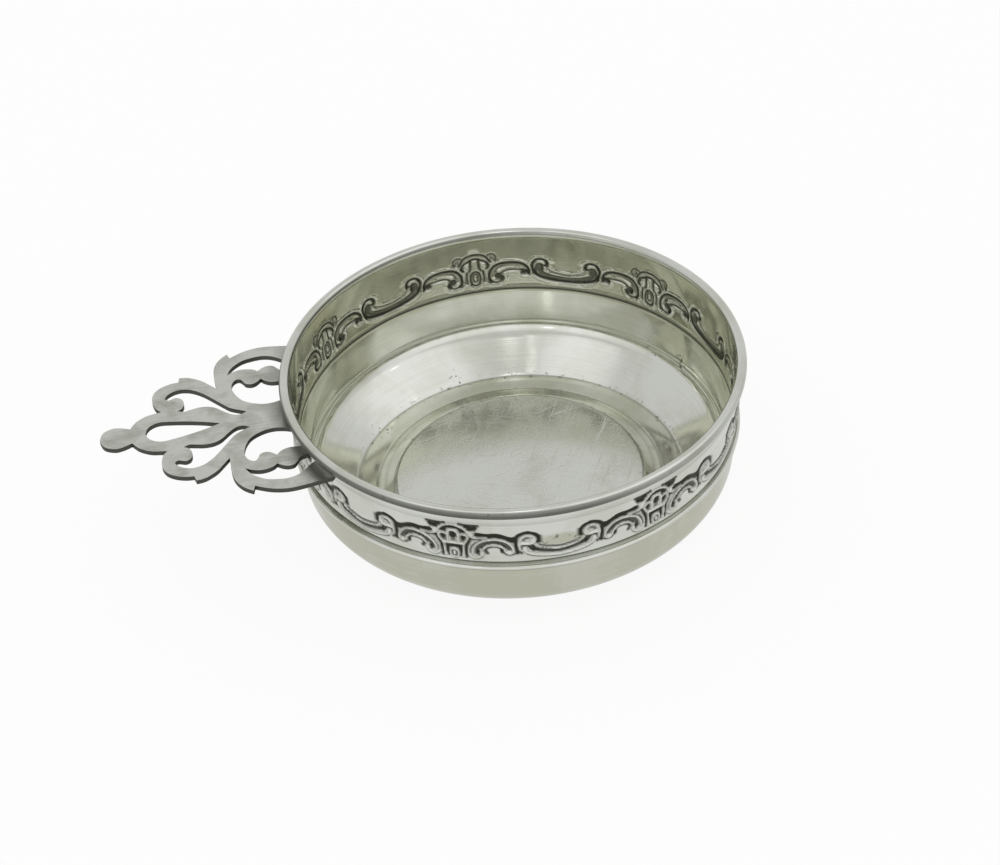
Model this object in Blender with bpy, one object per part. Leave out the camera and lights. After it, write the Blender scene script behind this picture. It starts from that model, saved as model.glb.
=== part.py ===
"""A one-handled silver porringer, built the way a silversmith puts it together.

The bowl is a spun lower shell, an embossed border strip, a bead wire over their joint and a
wire at the mouth. A flat pierced handle is soldered to the border just under the rim.
Metres, +Z up, origin on the table under the middle of the whole part, handle towards -X.
"""

from math import asin, cos, pi, radians, sin, tan

import bmesh
import bpy
from mathutils import Matrix, Vector

MM = 0.001

# Mouth and overall height
RIM_RADIUS = 57.5 * MM
RIM_WIRE_RADIUS = 1.3 * MM
BOWL_HEIGHT = 39.0 * MM

# Border strip, from the rim wire down to the waist
BAND_HEIGHT = 15.7 * MM
BAND_SHEET = 0.8 * MM
BAND_TAPER = 1.0 * MM
BAND_INSET = 0.2 * MM

# Bead wire over the joint of strip and bowl
BEAD_RADIUS = 0.6 * MM

# Spun lower bowl
BOWL_SHEET = 0.9 * MM
WALL_SWELL = 0.2 * MM
WALL_ROUND = 40.0 * MM
SHOULDER_HEIGHT = 8.75 * MM
SHOULDER_TAPER = 1.15 * MM
SHOULDER_ROUND = 6.0 * MM
STAND_OUTER_RADIUS = 42.4 * MM
STAND_INNER_RADIUS = 36.4 * MM
STAND_ROUND = 1.6 * MM
CENTRE_RADIUS = 31.6 * MM
CENTRE_RISE = 1.4 * MM
CENTRE_ROUND = 3.0 * MM

# Handle
HANDLE_LENGTH = 45.9 * MM
HANDLE_WIDTH = 56.4 * MM
HANDLE_THICKNESS = 1.25 * MM
HANDLE_DROP = 3.2 * MM
HANDLE_RISE = radians(2.0)
OUTLINE_STEP = 0.7 * MM

# Solder fillets under the handle's roots
SOLDER_LEG = 0.9 * MM

# The gap that stands for each soldered joint
JOINT_GAP = 0.3 * MM

# Fineness of the mesh
TURN_STEPS = 64
ROUND_ANGLE = radians(15)
WIRE_SIDES = 12
BEAD_STEPS = 6
SEAM_STEPS = 6
MERGE_DISTANCE = 0.001 * MM

# The most of a straight leg that the rounding of one of its two corners may take
LEG_SHARE = 0.48

# Places that follow from the sizes
WIRE_CENTRE_RADIUS = RIM_RADIUS - RIM_WIRE_RADIUS
WIRE_CENTRE_HEIGHT = BOWL_HEIGHT - RIM_WIRE_RADIUS
BAND_TOP_RADIUS = WIRE_CENTRE_RADIUS - BAND_INSET
BAND_TOP = WIRE_CENTRE_HEIGHT - RIM_WIRE_RADIUS - JOINT_GAP
BAND_BOTTOM_RADIUS = BAND_TOP_RADIUS - BAND_TAPER
BAND_BOTTOM = BAND_TOP - BAND_HEIGHT
WALL_TOP = BAND_BOTTOM - JOINT_GAP
HANDLE_TOP = WIRE_CENTRE_HEIGHT - HANDLE_DROP


def band_radius(height):
    """The strip's outer radius at a height."""
    return BAND_TOP_RADIUS - BAND_TAPER * (BAND_TOP - height) / BAND_HEIGHT


HANDLE_ROOT = band_radius(HANDLE_TOP)
HANDLE_REACH = HANDLE_ROOT + HANDLE_LENGTH * cos(HANDLE_RISE)
AXIS_SHIFT = (HANDLE_REACH - RIM_RADIUS) / 2

# The handle's drawing, in millimetres out from the bowl wall and to one side of its middle.
# Each list runs on smoothly from the point before it and ends at a corner.
DRAWN_LENGTH = 45.9
DRAWN_WIDTH = 56.4
ALONG = HANDLE_LENGTH / DRAWN_LENGTH
ACROSS = HANDLE_WIDTH / DRAWN_WIDTH
EDGE_START = (45.9, 0)
EDGE = [
    [(45.4, 1.9), (44.5, 3.1), (42.4, 4.0), (40.5, 3.7), (38.4, 2.75)],
    [(37.3, 4.5), (36.1, 5.7), (34.1, 6.9), (32.0, 7.4), (30.4, 7.7)],
    [(31.5, 9.2), (32.1, 11.8), (32.0, 14.0), (31.1, 16.0), (29.3, 17.5), (27.0, 18.4), (25.1, 18.6)],
    [(24.7, 20.3)],
    [(23.2, 20.1), (21.9, 19.6), (19.5, 17.9), (17.7, 15.8), (16.1, 13.8)],
    [(16.2, 17.5), (16.1, 20.5), (15.6, 22.8), (14.5, 24.9), (13.3, 26.2), (12.0, 27.2)],
    [(11.5, 25.5)],
    [(8.5, 27.1), (6.0, 27.9), (3.5, 28.2), (1.0, 28.0), (-3.1, 27.3), (-10.0, 26.0)],
    [(-12.0, 25.5)],
]
TEARDROP_START = (34.95, 0)
TEARDROP = [
    [(34.5, 1.5), (33.7, 2.6), (32.5, 3.4), (31.0, 3.75), (28.9, 3.5), (25.1, 2.7), (21.1, 1.6), (16.8, 0)],
]
SIDE_OPENING_START = (29.1, 12.6)
SIDE_OPENING = [
    [(28.4, 13.9), (26.7, 15.1), (24.7, 15.5), (22.3, 14.8), (19.7, 12.7), (17.1, 9.5), (15.1, 6.9),
     (13.7, 5.3), (11.9, 4.2), (9.95, 3.1)],
    [(11.4, 2.3), (12.9, 2.4), (14.3, 3.3), (15.8, 4.8), (17.3, 6.3), (19.3, 7.2), (21.4, 7.3),
     (23.6, 6.8), (25.0, 6.5), (26.4, 7.1)],
    [(25.3, 7.9), (24.65, 9.3), (24.7, 10.8), (25.3, 12.0), (26.4, 12.5), (27.5, 12.1), (28.3, 11.9),
     (29.1, 12.6)],
]
ARM_SLOT_START = (13.0, 18.5)
ARM_SLOT = [
    [(12.0, 20.6), (10.5, 22.3), (8.4, 23.7), (6.1, 24.3), (3.6, 24.5), (1.4, 23.9), (-0.5, 22.6),
     (-3.4, 19.9), (-9.0, 17.5)],
    [(-9.0, 15.6)],
    [(-6.0, 15.8), (-0.7, 17.2), (0.4, 18.6), (1.4, 19.8), (2.8, 20.0), (4.1, 19.5), (5.3, 18.55)],
    [(6.3, 19.4), (8.0, 20.0), (9.7, 20.05), (11.5, 19.5), (13.0, 18.5)],
]
STEM_OPENING_START = (9.45, 15.4)
STEM_OPENING = [
    [(8.8, 14.1), (7.5, 13.6), (6.3, 14.0), (4.9, 15.3)],
    [(4.3, 14.5), (3.1, 13.6), (1.6, 13.2), (-0.4, 13.3), (-9.0, 13.8)],
    [(-9.0, 7.2)],
    [(-0.4, 6.2), (1.6, 5.45), (3.9, 4.95), (6.3, 5.2), (8.6, 6.2), (10.3, 7.5), (11.4, 9.2),
     (12.15, 11.2), (12.45, 13.2), (12.1, 14.9), (11.2, 16.05), (10.2, 16.3), (9.45, 15.4)],
]

# Where the stem, a lobe and an arm meet the wall in the drawing, from side to side
STEM_ROOT = (-4.8, 4.8)
LOBE_ROOT = (14.0, 15.8)
ARM_ROOT = (21.4, 26.0)


def silver(name, colour, roughness):
    """A bare silver finish."""
    finish = bpy.data.materials.new(name)
    finish.use_nodes = True
    shader = finish.node_tree.nodes["Principled BSDF"]
    shader.inputs["Base Color"].default_value = (*colour, 1)
    shader.inputs["Metallic"].default_value = 1
    shader.inputs["Roughness"].default_value = roughness
    return finish


def place(name, mesh, finish, bench):
    """A node that hangs from the bench, the empty on the bowl's axis."""
    piece = bpy.data.objects.new(name, mesh)
    bpy.context.collection.objects.link(piece)
    piece.parent = bench
    mesh.materials.append(finish)
    return piece


def arc(centre, radius, start, end, steps):
    """Points along an arc, its angles in radians."""
    angles = [start + (end - start) * i / steps for i in range(steps + 1)]
    return [(centre[0] + radius * cos(a), centre[1] + radius * sin(a)) for a in angles]


def rounded(corners, radii):
    """A path through the corners, each rounded to its radius as far as its legs allow."""
    points = [Vector(corner) for corner in corners]
    path = [points[0]]
    for before, corner, after, radius in zip(points, points[1:], points[2:], radii):
        back = before - corner
        ahead = after - corner
        half_angle = back.angle(ahead) / 2
        leg = min(radius / tan(half_angle), LEG_SHARE * back.length, LEG_SHARE * ahead.length)
        bisector = (back.normalized() + ahead.normalized()).normalized()
        centre = corner + bisector * (leg / cos(half_angle))
        first = corner + back.normalized() * leg - centre
        last = corner + ahead.normalized() * leg - centre
        steps = max(1, round(first.angle(last) / ROUND_ANGLE))
        for i in range(steps + 1):
            spoke = first.lerp(last, i / steps).normalized()
            path.append(centre + spoke * first.length)
    return path + [points[-1]]


def beside(path, distance):
    """The path moved sideways by a distance, to the right of its direction."""
    moved = []
    for i, point in enumerate(path):
        before = point - path[i - 1] if i else path[1] - point
        after = path[i + 1] - point if i + 1 < len(path) else before
        normals = [Vector((d.y, -d.x)).normalized() for d in (before, after)]
        middle = (normals[0] + normals[1]).normalized()
        moved.append(point + middle * (distance / middle.dot(normals[0])))
    return moved


def turned(name, profile, closed, finish, bench):
    """A piece turned round the bowl's axis from its profile of radius and height."""
    bm = bmesh.new()
    verts = [bm.verts.new((radius, 0, height)) for radius, height in profile]
    for a, b in zip(verts, verts[1:] + verts[:1] if closed else verts[1:]):
        bm.edges.new((a, b))
    mesh = bpy.data.meshes.new(name)
    bm.to_mesh(mesh)
    bm.free()
    piece = place(name, mesh, finish, bench)
    spin = piece.modifiers.new("Turn", "SCREW")
    spin.steps = spin.render_steps = TURN_STEPS
    spin.use_merge_vertices = True
    spin.merge_threshold = MERGE_DISTANCE
    spin.use_smooth_shade = True
    return piece


def make_bowl(finish, bench):
    """The spun lower bowl: swelled wall, shoulder, slope, standing ring and raised centre."""
    wall_middle = (WALL_TOP + SHOULDER_HEIGHT) / 2
    corners = [
        (BAND_BOTTOM_RADIUS, WALL_TOP),
        (BAND_BOTTOM_RADIUS - SHOULDER_TAPER / 2 + WALL_SWELL, wall_middle),
        (BAND_BOTTOM_RADIUS - SHOULDER_TAPER, SHOULDER_HEIGHT),
        (STAND_OUTER_RADIUS, 0),
        (STAND_INNER_RADIUS, 0),
        (CENTRE_RADIUS, CENTRE_RISE),
        (0, CENTRE_RISE),
    ]
    rounds = [WALL_ROUND, SHOULDER_ROUND, STAND_ROUND, CENTRE_ROUND, CENTRE_ROUND]
    outside = rounded(corners, rounds)
    inside = beside(outside, BOWL_SHEET)
    return turned("bowl_shell", inside[::-1] + outside, False, finish, bench)


def make_band(finish, bench):
    """The border strip: a tapered ring that stands on the bowl's edge."""
    profile = [
        (BAND_TOP_RADIUS - BAND_SHEET, BAND_TOP),
        (BAND_TOP_RADIUS, BAND_TOP),
        (BAND_BOTTOM_RADIUS, BAND_BOTTOM),
        (BAND_BOTTOM_RADIUS - BAND_SHEET, BAND_BOTTOM),
    ]
    return turned("border_band", profile, True, finish, bench)


def make_bead(finish, bench):
    """The half-round wire over the joint of strip and bowl."""
    centre = (BAND_BOTTOM_RADIUS + JOINT_GAP, BAND_BOTTOM - JOINT_GAP / 2)
    profile = arc(centre, BEAD_RADIUS, pi / 2, -pi / 2, BEAD_STEPS)
    return turned("waist_bead", profile, True, finish, bench)


def make_rim(finish, bench):
    """The round wire at the mouth."""
    centre = (WIRE_CENTRE_RADIUS, WIRE_CENTRE_HEIGHT)
    profile = arc(centre, RIM_WIRE_RADIUS, pi / 2, -3 * pi / 2, WIRE_SIDES)[:-1]
    return turned("rim_wire", profile, True, finish, bench)


def smooth_run(points):
    """Even points on a smooth curve through the given ones, without the first."""
    knots = [Vector(p) for p in points]
    ends = [2 * knots[0] - knots[1]] + knots + [2 * knots[-1] - knots[-2]]
    run = []
    for before, a, b, after in zip(ends, ends[1:], ends[2:], ends[3:]):
        steps = max(1, round((b - a).length * MM / OUTLINE_STEP))
        start_pull = (b - before) * (b - a).length / ((b - a).length + (a - before).length)
        end_pull = (after - a) * (b - a).length / ((b - a).length + (after - b).length)
        for i in range(1, steps + 1):
            t = i / steps
            run.append(
                a * (2 * t**3 - 3 * t**2 + 1)
                + b * (3 * t**2 - 2 * t**3)
                + start_pull * (t**3 - 2 * t**2 + t)
                + end_pull * (t**3 - t**2)
            )
    return run


def drawn(start, runs):
    """A line of the handle's drawing as points at the handle's real size."""
    line = [Vector(start)]
    for run in runs:
        line += smooth_run([line[-1], *run])
    return [Vector((-p.x * ALONG, p.y * ACROSS)) for p in line]


def mirrored(line):
    """The same line on the other side of the handle's middle."""
    return [Vector((p.x, -p.y)) for p in line]


def handle_loops():
    """The handle's outer edge and its openings, each as a closed ring of points."""
    edge = drawn(EDGE_START, EDGE)
    teardrop = drawn(TEARDROP_START, TEARDROP)
    loops = [edge + mirrored(edge[:0:-1]), teardrop + mirrored(teardrop[-2:0:-1])]
    sides = (
        (SIDE_OPENING_START, SIDE_OPENING),
        (ARM_SLOT_START, ARM_SLOT),
        (STEM_OPENING_START, STEM_OPENING),
    )
    for start, runs in sides:
        opening = drawn(start, runs)[:-1]
        loops += [opening, mirrored(opening)]
    return loops


def make_handle(finish, bench, wall):
    """The pierced plate, cut to the bowl's wall at its root."""
    bm = bmesh.new()
    for loop in handle_loops():
        verts = [bm.verts.new((p.x, p.y, 0)) for p in loop]
        for a, b in zip(verts, verts[1:] + verts[:1]):
            bm.edges.new((a, b))
    bmesh.ops.triangle_fill(bm, use_beauty=True, edges=bm.edges[:])
    grown = bmesh.ops.extrude_face_region(bm, geom=bm.faces[:])["geom"]
    lower = [v for v in grown if isinstance(v, bmesh.types.BMVert)]
    bmesh.ops.translate(bm, verts=lower, vec=(0, 0, -HANDLE_THICKNESS))
    bmesh.ops.recalc_face_normals(bm, faces=bm.faces[:])
    mesh = bpy.data.meshes.new("handle_plate")
    bm.to_mesh(mesh)
    bm.free()
    plate = place("handle_plate", mesh, finish, bench)
    plate.location = (-HANDLE_ROOT, 0, HANDLE_TOP)
    plate.rotation_euler = (0, HANDLE_RISE, 0)
    trim = plate.modifiers.new("Trim to wall", "BOOLEAN")
    trim.object = wall
    return plate


def make_wall_cutter(finish, bench):
    """The band's outer surface plus the joint gap, for trimming the handle's root."""
    bm = bmesh.new()
    bmesh.ops.create_cone(
        bm,
        cap_ends=True,
        segments=2 * TURN_STEPS,
        radius1=BAND_BOTTOM_RADIUS + JOINT_GAP,
        radius2=BAND_TOP_RADIUS + JOINT_GAP,
        depth=BAND_HEIGHT,
        matrix=Matrix.Translation((0, 0, (BAND_TOP + BAND_BOTTOM) / 2)),
    )
    mesh = bpy.data.meshes.new("wall_cutter")
    bm.to_mesh(mesh)
    bm.free()
    cutter = place("wall_cutter", mesh, finish, bench)
    cutter.hide_render = True
    cutter.display_type = "WIRE"
    return cutter


def make_seam(name, root, finish, bench):
    """A solder fillet in the corner under one of the handle's roots, from side to side of it."""
    start, end = (asin(side * ACROSS / HANDLE_ROOT) for side in root)
    root_drop = HANDLE_ROOT * (1 - cos(max(abs(start), abs(end)))) * tan(HANDLE_RISE)
    top = HANDLE_TOP - HANDLE_THICKNESS / cos(HANDLE_RISE) - root_drop - JOINT_GAP
    near = band_radius(top) + JOINT_GAP
    section = [(near, top), (near + SOLDER_LEG, top), (near, top - SOLDER_LEG)]
    bm = bmesh.new()
    turn = Matrix.Rotation(pi + start, 3, "Z")
    face = bm.faces.new([bm.verts.new(turn @ Vector((r, 0, z))) for r, z in section])
    bmesh.ops.spin(
        bm,
        geom=[face, *face.edges, *face.verts],
        axis=(0, 0, 1),
        angle=end - start,
        steps=SEAM_STEPS,
    )
    bmesh.ops.recalc_face_normals(bm, faces=bm.faces[:])
    mesh = bpy.data.meshes.new(name)
    bm.to_mesh(mesh)
    bm.free()
    return place(name, mesh, finish, bench)


def main():
    for leftover in list(bpy.data.objects):
        bpy.data.objects.remove(leftover)
    bench = bpy.data.objects.new("porringer", None)
    bench.location = (AXIS_SHIFT, 0, 0)
    bpy.context.collection.objects.link(bench)

    plain = silver("polished silver", (0.72, 0.71, 0.64), 0.22)
    embossed = silver("embossed silver", (0.62, 0.61, 0.53), 0.3)
    worn = silver("worn silver", (0.74, 0.73, 0.66), 0.28)
    seam = silver("solder", (0.58, 0.57, 0.5), 0.4)

    make_bowl(plain, bench)
    make_band(embossed, bench)
    make_bead(plain, bench)
    make_rim(plain, bench)
    wall = make_wall_cutter(plain, bench)
    make_handle(worn, bench, wall)
    make_seam("solder_stem", STEM_ROOT, seam, bench)
    for side, sign in (("far", -1), ("near", 1)):
        for joint, root in (("lobe", LOBE_ROOT), ("arm", ARM_ROOT)):
            ends = sorted(sign * edge for edge in root)
            make_seam(f"solder_{joint}_{side}", ends, seam, bench)


main()
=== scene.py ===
"""The looks of a one-handled silver porringer, laid out as an add-on.

Each operator models one piece, or one group of like pieces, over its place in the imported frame,
and the last one sets the stage. Metres, +Z up, the handle towards -X.
"""

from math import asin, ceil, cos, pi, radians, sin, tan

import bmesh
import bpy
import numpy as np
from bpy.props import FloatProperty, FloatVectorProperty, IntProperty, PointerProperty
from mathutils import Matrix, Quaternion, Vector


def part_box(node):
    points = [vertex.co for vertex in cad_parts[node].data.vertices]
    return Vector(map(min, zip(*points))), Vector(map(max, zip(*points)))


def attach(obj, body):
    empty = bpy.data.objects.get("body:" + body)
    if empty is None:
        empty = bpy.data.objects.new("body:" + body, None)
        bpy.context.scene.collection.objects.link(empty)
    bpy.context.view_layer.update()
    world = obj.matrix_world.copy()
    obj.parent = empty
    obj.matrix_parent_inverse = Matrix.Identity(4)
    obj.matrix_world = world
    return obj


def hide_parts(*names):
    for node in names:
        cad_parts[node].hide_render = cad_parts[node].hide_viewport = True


bl_info = {
    "name": "Silver porringer",
    "version": (1, 0, 0),
    "blender": (4, 5, 0),
    "location": "View3D > Sidebar > Porringer",
    "description": "Models a silver porringer with an embossed border and a pierced handle",
    "category": "Add Mesh",
}

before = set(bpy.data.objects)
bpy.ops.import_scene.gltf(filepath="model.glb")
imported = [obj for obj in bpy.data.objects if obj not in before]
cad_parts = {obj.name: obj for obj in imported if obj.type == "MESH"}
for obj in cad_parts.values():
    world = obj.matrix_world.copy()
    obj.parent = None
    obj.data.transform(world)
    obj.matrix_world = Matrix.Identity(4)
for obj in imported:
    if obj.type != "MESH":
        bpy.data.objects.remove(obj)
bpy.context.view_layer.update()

MM = 0.001

# Places read from the frame
RIM_LOW, RIM_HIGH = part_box("rim_wire")
BAND_LOW, BAND_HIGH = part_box("border_band")
BEAD_LOW, BEAD_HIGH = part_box("waist_bead")
BOWL_LOW, BOWL_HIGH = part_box("bowl_shell")
HANDLE_LOW, HANDLE_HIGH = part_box("handle_plate")

AXIS = Vector(((RIM_LOW.x + RIM_HIGH.x) / 2, 0, 0))
RIM_RADIUS = (RIM_HIGH.y - RIM_LOW.y) / 2
WIRE_RADIUS = (RIM_HIGH.z - RIM_LOW.z) / 2
WIRE_HEIGHT = (RIM_HIGH.z + RIM_LOW.z) / 2
RIM_MIDDLE = AXIS + Vector((0, 0, WIRE_HEIGHT))
BAND_TOP_RADIUS = (BAND_HIGH.y - BAND_LOW.y) / 2
BAND_BOTTOM_RADIUS = (BOWL_HIGH.y - BOWL_LOW.y) / 2
BAND_HEIGHT = BAND_HIGH.z - BAND_LOW.z
BAND_TAPER = BAND_TOP_RADIUS - BAND_BOTTOM_RADIUS
BEAD_RADIUS = (BEAD_HIGH.z - BEAD_LOW.z) / 2
BEAD_HEIGHT = (BEAD_HIGH.z + BEAD_LOW.z) / 2
BEAD_CENTRE = (BEAD_HIGH.y - BEAD_LOW.y) / 2 - BEAD_RADIUS
HANDLE_WIDTH = HANDLE_HIGH.y - HANDLE_LOW.y

# The bowl's outside as radius and height, and how far each corner is softened along its legs
JOINT_GAP = 0.3 * MM
WALL_TOP = BAND_LOW.z - JOINT_GAP
SHOULDER_HEIGHT = 8.75 * MM
SHOULDER_TAPER = 1.15 * MM
WALL_SWELL = 0.2 * MM
SWELL_RADIUS = BAND_BOTTOM_RADIUS - SHOULDER_TAPER / 2 + WALL_SWELL
CENTRE_RISE = 1.4 * MM
BOWL_CORNERS = [
    ((BAND_BOTTOM_RADIUS, WALL_TOP), 0),
    ((SWELL_RADIUS, (WALL_TOP + SHOULDER_HEIGHT) / 2), 2.6 * MM),
    ((BAND_BOTTOM_RADIUS - SHOULDER_TAPER, SHOULDER_HEIGHT), 2.7 * MM),
    ((42.4 * MM, 0), 0.6 * MM),
    ((36.4 * MM, 0), 0.5 * MM),
    ((31.6 * MM, CENTRE_RISE), 0.5 * MM),
    ((0, CENTRE_RISE), 0),
]
ROW_SPACING = 0.7 * MM
CORNER_STEPS = 8

# Creases of the bowl, darkened along their line as painted shade and speckled with dirt: inside or outside,
# radius, height, half width and strength. The specks lie as far as the given number of half widths from the
# line.
CREASES = [
    ("inside", 41.9 * MM, 1.3 * MM, 0.55 * MM, 0.6),
    ("inside", 36.3 * MM, 1.0 * MM, 0.35 * MM, 0.35),
    ("inside", 34.4 * MM, 1.6 * MM, 0.3 * MM, 0.25),
    ("inside", 31.5 * MM, 2.25 * MM, 0.4 * MM, 0.45),
    ("inside", 53.2 * MM, 9.9 * MM, 0.35 * MM, 0.3),
    ("outside", 55.0 * MM, 19.5 * MM, 0.2 * MM, 0.6),
]
SPECK_REACH = 2.4
SPECK_SHARE = 1.3
# Patches of specks inside: place from the axis, and reach
SPECK_PATCHES = [
    (Vector((43.3, 30.3, 10.0)) * MM, 3.5 * MM),
    (Vector((48.5, 22.0, 11.5)) * MM, 4.5 * MM),
    (Vector((-6.8, 42.1, 1.3)) * MM, 5.0 * MM),
    (Vector((-31.1, 28.1, 0.9)) * MM, 4.0 * MM),
]
# Tarnish that polishing leaves on the bowl: side, from and to which radius, strength
BOWL_TARNISH = [
    ("outside", 0, BAND_TOP_RADIUS, 0.75),
    ("inside", 0, 31.4 * MM, -0.3),
    ("inside", 31.4 * MM, 42.2 * MM, 0.2),
    ("inside", 52.6 * MM, BAND_TOP_RADIUS, 0.1),
]

# The border's drawing for half a repeat, in millimetres along the strip from the middle of a
# crest and down from the middle of the rim wire. It is mirrored at the crest and the festoon.
REPEATS = 7
FIRST_CREST = radians(88.8)
# Columns of the strip: millimetres along it and steps, fine over a crest and coarse over a festoon
CREST_SPAN = 40.8
CREST_STEPS = 145
FESTOON_STEPS = 10
STROKE_STEP = 0.12
DRAWING_DIGITS = 3
RIDGES = [
    # The crest: arch, scallops, collar, side bar with its foot, oval boss and knob
    (0.3, [(0, 4.3), (0.8, 4.35), (1.6, 4.65), (2.4, 5.1), (3.05, 5.65), (3.45, 6.3), (3.8, 7.1), (4.4, 7.75),
           (5.3, 8.05), (6.6, 8.1), (8.0, 7.95)]),
    (0.32, [(0, 6.15), (0.7, 6.3), (1.15, 6.85), (1.3, 7.8), (1.28, 9.0), (1.2, 10.0)]),
    (0.3, [(1.6, 7.45), (2.2, 7.25), (2.9, 7.3), (3.45, 7.8), (3.55, 8.5), (3.1, 9.4), (2.65, 10.2),
           (2.4, 10.9)]),
    (0.42, [(0, 10.15), (1.2, 10.2), (2.2, 10.2)]),
    (0.3, [(2.35, 11.3), (2.3, 12.5), (2.2, 13.6)]),
    (0.48, [(2.15, 14.1), (2.2, 14.3)]),
    (0.32, [(0, 12.1), (0.75, 12.5), (1.0, 13.3), (0.9, 14.2), (0.5, 14.75), (0, 14.9)]),
    (0.4, [(0, 13.2), (0, 13.9)]),
    (0.65, [(4.35, 6.75), (4.45, 7.1)]),
    (0.32, [(3.75, 6.35), (5.1, 6.2)]),
    # The scroll beside it: outer line, back with its hook, inner line, buds and curl
    (0.26, [(3.55, 13.3), (3.55, 12.2), (3.75, 11.2), (4.2, 10.3), (4.9, 9.5), (5.8, 8.9)]),
    (0.33, [(4.35, 13.0), (4.4, 12.2), (4.7, 11.3), (5.2, 10.5), (5.9, 9.8), (6.8, 9.2), (7.9, 8.7),
            (9.2, 8.45), (10.3, 8.42), (11.4, 8.6), (12.4, 9.1), (13.2, 9.8), (13.8, 10.7), (14.1, 11.7),
            (14.0, 12.6), (13.4, 13.05), (12.7, 12.85), (12.2, 12.2)]),
    (0.3, [(7.1, 11.5), (7.7, 10.8), (8.5, 10.4), (9.5, 10.25), (10.5, 10.35), (11.4, 10.8), (12.0, 11.5),
           (12.2, 12.2)]),
    (0.5, [(13.0, 12.55), (13.3, 12.6)]),
    (0.42, [(3.6, 13.4), (4.1, 14.15), (4.9, 14.5), (5.8, 14.35), (6.45, 13.75), (6.8, 13.0), (6.65, 12.6)]),
    (0.36, [(6.3, 13.2), (6.4, 13.0)]),
    # The festoon: volute and its body, bud with the lower line, upper line
    (0.32, [(15.7, 11.6), (15.45, 10.6), (15.45, 9.7), (15.7, 8.9), (16.2, 8.1), (16.9, 7.5), (17.8, 7.4),
            (18.7, 7.8), (19.2, 8.6), (19.2, 9.5), (18.7, 10.1)]),
    (0.58, [(18.75, 8.9), (18.6, 9.6), (17.8, 10.0), (16.6, 9.9), (15.95, 9.9)]),
    (0.55, [(16.75, 11.6), (16.95, 12.1)]),
    (0.42, [(16.6, 11.4), (16.7, 12.1), (17.3, 12.8), (18.4, 13.4), (20.0, 13.85), (22.0, 14.2),
            (25.2, 14.5)]),
    (0.32, [(19.3, 10.5), (20.3, 11.2), (21.8, 11.8), (23.5, 12.25), (25.2, 12.5)]),
]
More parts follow.
